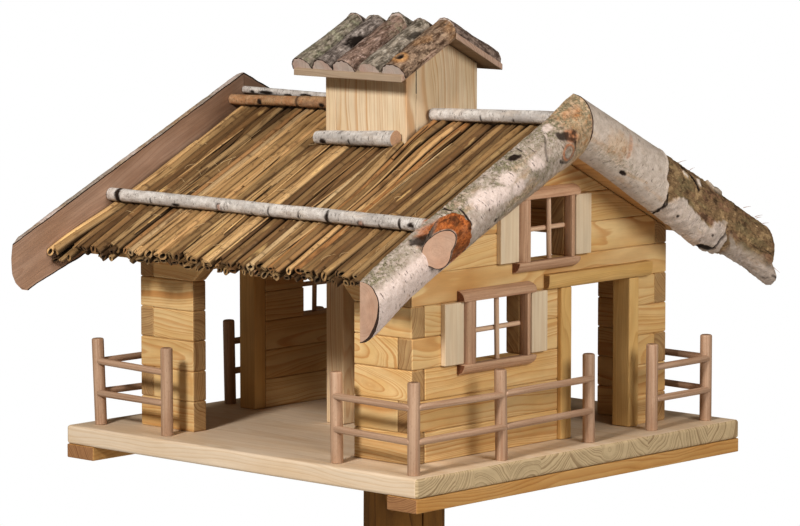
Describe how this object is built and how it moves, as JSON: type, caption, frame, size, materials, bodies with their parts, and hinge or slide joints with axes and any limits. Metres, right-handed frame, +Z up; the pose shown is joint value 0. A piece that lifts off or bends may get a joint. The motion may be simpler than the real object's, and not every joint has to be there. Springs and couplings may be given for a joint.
{
  "type": "bird house on stand",
  "caption": "Log-cabin bird feeding house with thatched roof, birch bargeboards, filling turret and porch fence, on a round post with a cross foot.",
  "frame": {"origin": "on the ground under the middle of the stand", "axes": "+Z up, X along the ridge with the right gable at +X, the front eave faces -Y"},
  "size_m": [0.66, 0.66, 1.5709],
  "materials": {
    "stand_wood": "brown impregnated softwood, matt",
    "floor_pine": "glued pine board, sanded",
    "cleat_pine": "planed pine batten",
    "wall_pine": "planed pine boards with bevelled edges",
    "door_pine": "planed pine strips",
    "beech_trim": "beech quarter-round, sanded",
    "shutter_wood": "pale thin wood strips",
    "beech_fence": "beech dowels",
    "roof_board_pine": "pine board, sawn",
    "reed_thatch": "natural reed stalks",
    "birch_bark": "birch halves with the bark on",
    "branch_bark": "split branches with the bark on",
    "turret_pine": "planed pine board, upright grain"
  },
  "bodies": {
    "root": {"foot_beam_x": "stand_wood", "foot_beam_y": "stand_wood", "stand_post": "stand_wood", "stand_braces": "stand_wood", "head_plate": "stand_wood", "base_plate": "floor_pine", "floor_cleats": "cleat_pine", "front_wall_left": "wall_pine", "front_wall_right": "wall_pine", "back_wall_left": "wall_pine", "back_wall_right": "wall_pine", "front_lintel": "wall_pine", "back_lintel": "wall_pine", "right_gable_window_wall": "wall_pine", "right_gable_corner_wall": "wall_pine", "right_gable_upper_wall": "wall_pine", "left_gable_window_wall": "wall_pine", "left_gable_corner_wall": "wall_pine", "left_gable_upper_wall": "wall_pine", "right_door_frame": "door_pine", "left_door_frame": "door_pine", "right_window_frames": "beech_trim", "left_window_frames": "beech_trim", "right_shutters": "shutter_wood", "left_shutters": "shutter_wood", "fence_posts": "beech_fence", "fence_rails": "beech_fence", "roof_board_front": "roof_board_pine", "roof_board_back": "roof_board_pine", "thatch_front": "reed_thatch", "thatch_back": "reed_thatch", "log_right_front": "birch_bark", "log_right_back": "birch_bark", "log_left_front": "birch_bark", "log_left_back": "birch_bark", "ridge_rods": "birch_bark", "slope_rods": "birch_bark", "turret_base_logs": "birch_bark", "turret_front_back_walls": "turret_pine", "turret_side_walls": "turret_pine", "turret_roof_boards": "roof_board_pine", "turret_roof_logs_front": "branch_bark", "turret_roof_logs_back": "branch_bark", "feed_silo": "turret_pine"}
  },
  "joints": []
}
